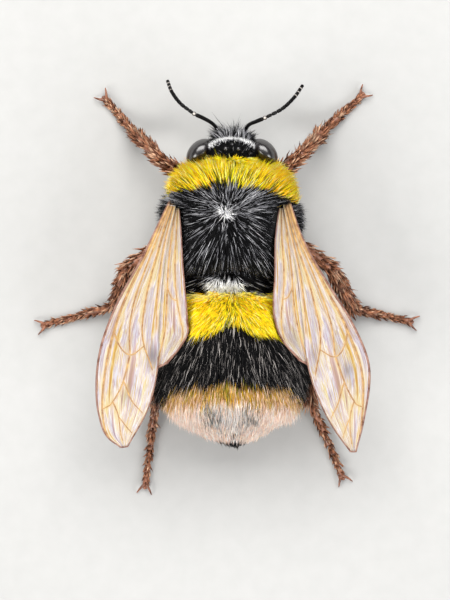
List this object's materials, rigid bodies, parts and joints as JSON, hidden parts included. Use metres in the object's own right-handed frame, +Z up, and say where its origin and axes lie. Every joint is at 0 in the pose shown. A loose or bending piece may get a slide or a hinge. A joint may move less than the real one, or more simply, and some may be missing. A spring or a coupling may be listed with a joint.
{
  "type": "buff-tailed bumblebee",
  "caption": "Life-size still model of a furry bumblebee standing on six bristly legs, with a yellow collar and belt, a buff tail and milky veined wings held half open.",
  "frame": {"origin": "on the floor under the middle of the whole bee's outline, close to its waist; the body's own midline lies 0.335 mm to the -X side because the left feet reach farther out", "axes": "the head faces -Y, the bee's left side is +X, +Z is up"},
  "size_m": [0.0256, 0.0278, 0.0093],
  "materials": {
    "coat_black": "dense black hair with grey glints",
    "coat_yellow": "dense golden yellow hair",
    "coat_tawny": "tawny hair",
    "coat_buff": "buff white hair",
    "shell_black": "glossy black cuticle",
    "eye_black": "polished black, finely faceted",
    "leg_brown": "reddish brown cuticle under bristles",
    "wing_membrane": "milky veined membrane with a brown rim"
  },
  "bodies": {
    "root": {"abdomen_1": "coat_black", "abdomen_2": "coat_yellow", "abdomen_3": "coat_black", "abdomen_4": "coat_tawny", "abdomen_5": "coat_buff", "abdomen_6": "coat_buff", "antenna_flagellum_left": "shell_black", "antenna_flagellum_right": "shell_black", "antenna_scape_left": "shell_black", "antenna_scape_right": "shell_black", "coxa_front_left": "leg_brown", "coxa_front_right": "leg_brown", "coxa_hind_left": "leg_brown", "coxa_hind_right": "leg_brown", "coxa_middle_left": "leg_brown", "coxa_middle_right": "leg_brown", "eye_left": "eye_black", "eye_right": "eye_black", "femur_front_left": "leg_brown", "femur_front_right": "leg_brown", "femur_hind_left": "leg_brown", "femur_hind_right": "leg_brown", "femur_middle_left": "leg_brown", "femur_middle_right": "leg_brown", "forewing_left": "wing_membrane", "forewing_right": "wing_membrane", "head": "coat_black", "hindwing_left": "wing_membrane", "hindwing_right": "wing_membrane", "mandible_left": "shell_black", "mandible_right": "shell_black", "proboscis": "shell_black", "tarsus_front_left": "leg_brown", "tarsus_front_right": "leg_brown", "tarsus_hind_left": "leg_brown", "tarsus_hind_right": "leg_brown", "tarsus_middle_left": "leg_brown", "tarsus_middle_right": "leg_brown", "tegula_left": "shell_black", "tegula_right": "shell_black", "thorax": "coat_black", "tibia_front_left": "leg_brown", "tibia_front_right": "leg_brown", "tibia_hind_left": "leg_brown", "tibia_hind_right": "leg_brown", "tibia_middle_left": "leg_brown", "tibia_middle_right": "leg_brown"}
  },
  "joints": []
}
